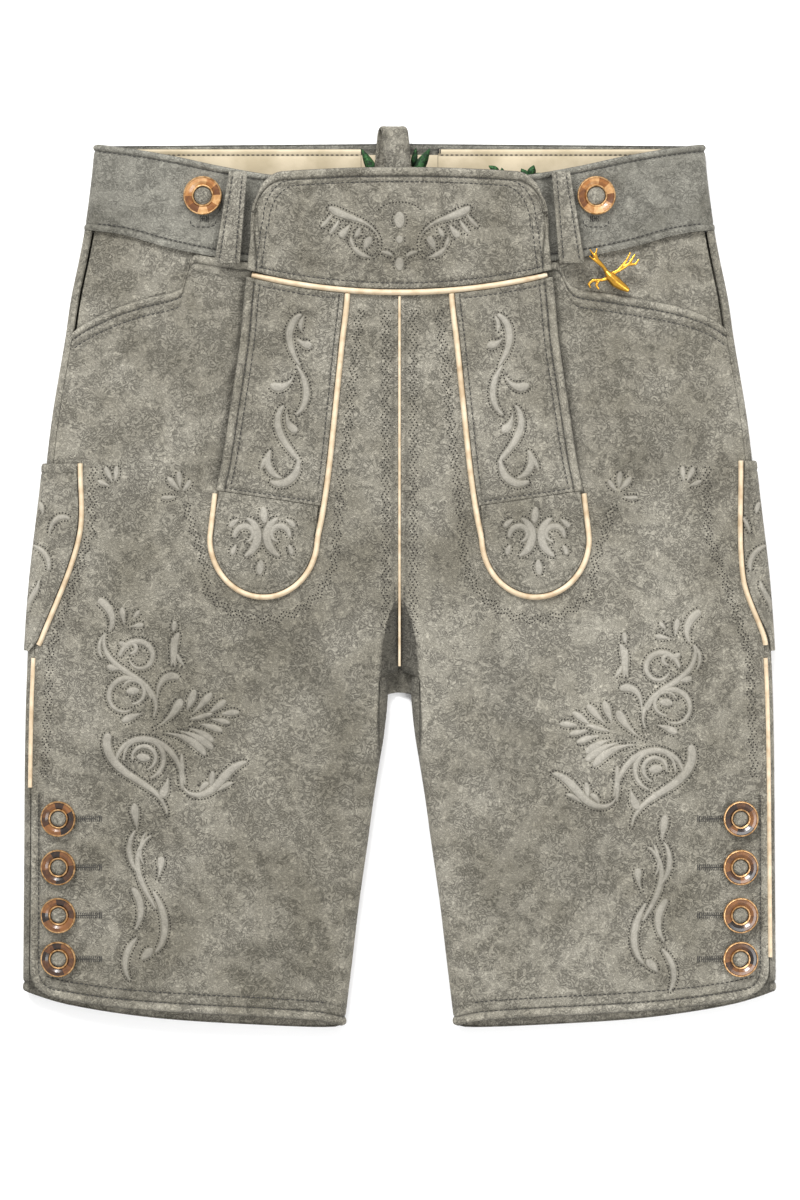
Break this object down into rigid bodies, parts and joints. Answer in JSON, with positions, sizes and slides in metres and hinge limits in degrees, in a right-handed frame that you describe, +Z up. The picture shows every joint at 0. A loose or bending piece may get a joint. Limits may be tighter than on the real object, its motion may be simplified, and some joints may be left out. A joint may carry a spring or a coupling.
{
  "type": "lederhosen",
  "caption": "Short grey suede lederhosen with a piped front flap, ring buttons and side patches, laid flat on their back, hollow at waist and legs.",
  "frame": {"origin": "middle of the bounding box on the surface that the garment lies on", "axes": "+Y from the hems up to the waist, +X towards the wearer's left, +Z up off the surface, out of the garment's front"},
  "size_m": [0.5246, 0.6288, 0.0343],
  "materials": {
    "suede": "grey sueded deer leather, napped and mottled, with stitched and embossed ornament",
    "cream_leather": "cream grain leather facing with green leaf sprigs",
    "piping_leather": "smooth cream leather piping",
    "amber_horn": "turned amber horn, polished",
    "dark_horn": "turned dark horn with brassy turned lines, polished",
    "gold": "cast and gilded, polished"
  },
  "bodies": {
    "root": {"front_right": "suede", "front_left": "suede", "back_right": "suede", "back_left": "suede", "gusset": "suede", "waistband_right": "suede", "waistband_left": "suede", "facing_right": "cream_leather", "facing_left": "cream_leather", "facing_centre": "cream_leather", "pocket_facing_right": "suede", "pocket_facing_left": "suede", "flap_top": "suede", "strip_right": "suede", "strip_left": "suede", "tongue_right": "suede", "tongue_left": "suede", "piping_flap": "piping_leather", "piping_strip_right": "piping_leather", "piping_strip_left": "piping_leather", "piping_centre": "piping_leather", "piping_patch_right": "piping_leather", "piping_patch_left": "piping_leather", "piping_side_right": "piping_leather", "piping_side_left": "piping_leather", "side_patch_right": "suede", "side_patch_left": "suede", "belt_loop_right": "suede", "belt_loop_left": "suede", "hanging_loop": "suede", "button_waist_right_ring": "amber_horn", "button_waist_right_centre": "suede", "button_waist_left_ring": "amber_horn", "button_waist_left_centre": "suede", "button_leg_right_1_ring": "dark_horn", "button_leg_right_1_centre": "suede", "button_leg_right_2_ring": "dark_horn", "button_leg_right_2_centre": "suede", "button_leg_right_3_ring": "dark_horn", "button_leg_right_3_centre": "suede", "button_leg_right_4_ring": "dark_horn", "button_leg_right_4_centre": "suede", "button_leg_left_1_ring": "dark_horn", "button_leg_left_1_centre": "suede", "button_leg_left_2_ring": "dark_horn", "button_leg_left_2_centre": "suede", "button_leg_left_3_ring": "dark_horn", "button_leg_left_3_centre": "suede", "button_leg_left_4_ring": "dark_horn", "button_leg_left_4_centre": "suede", "charm": "gold"}
  },
  "joints": []
}
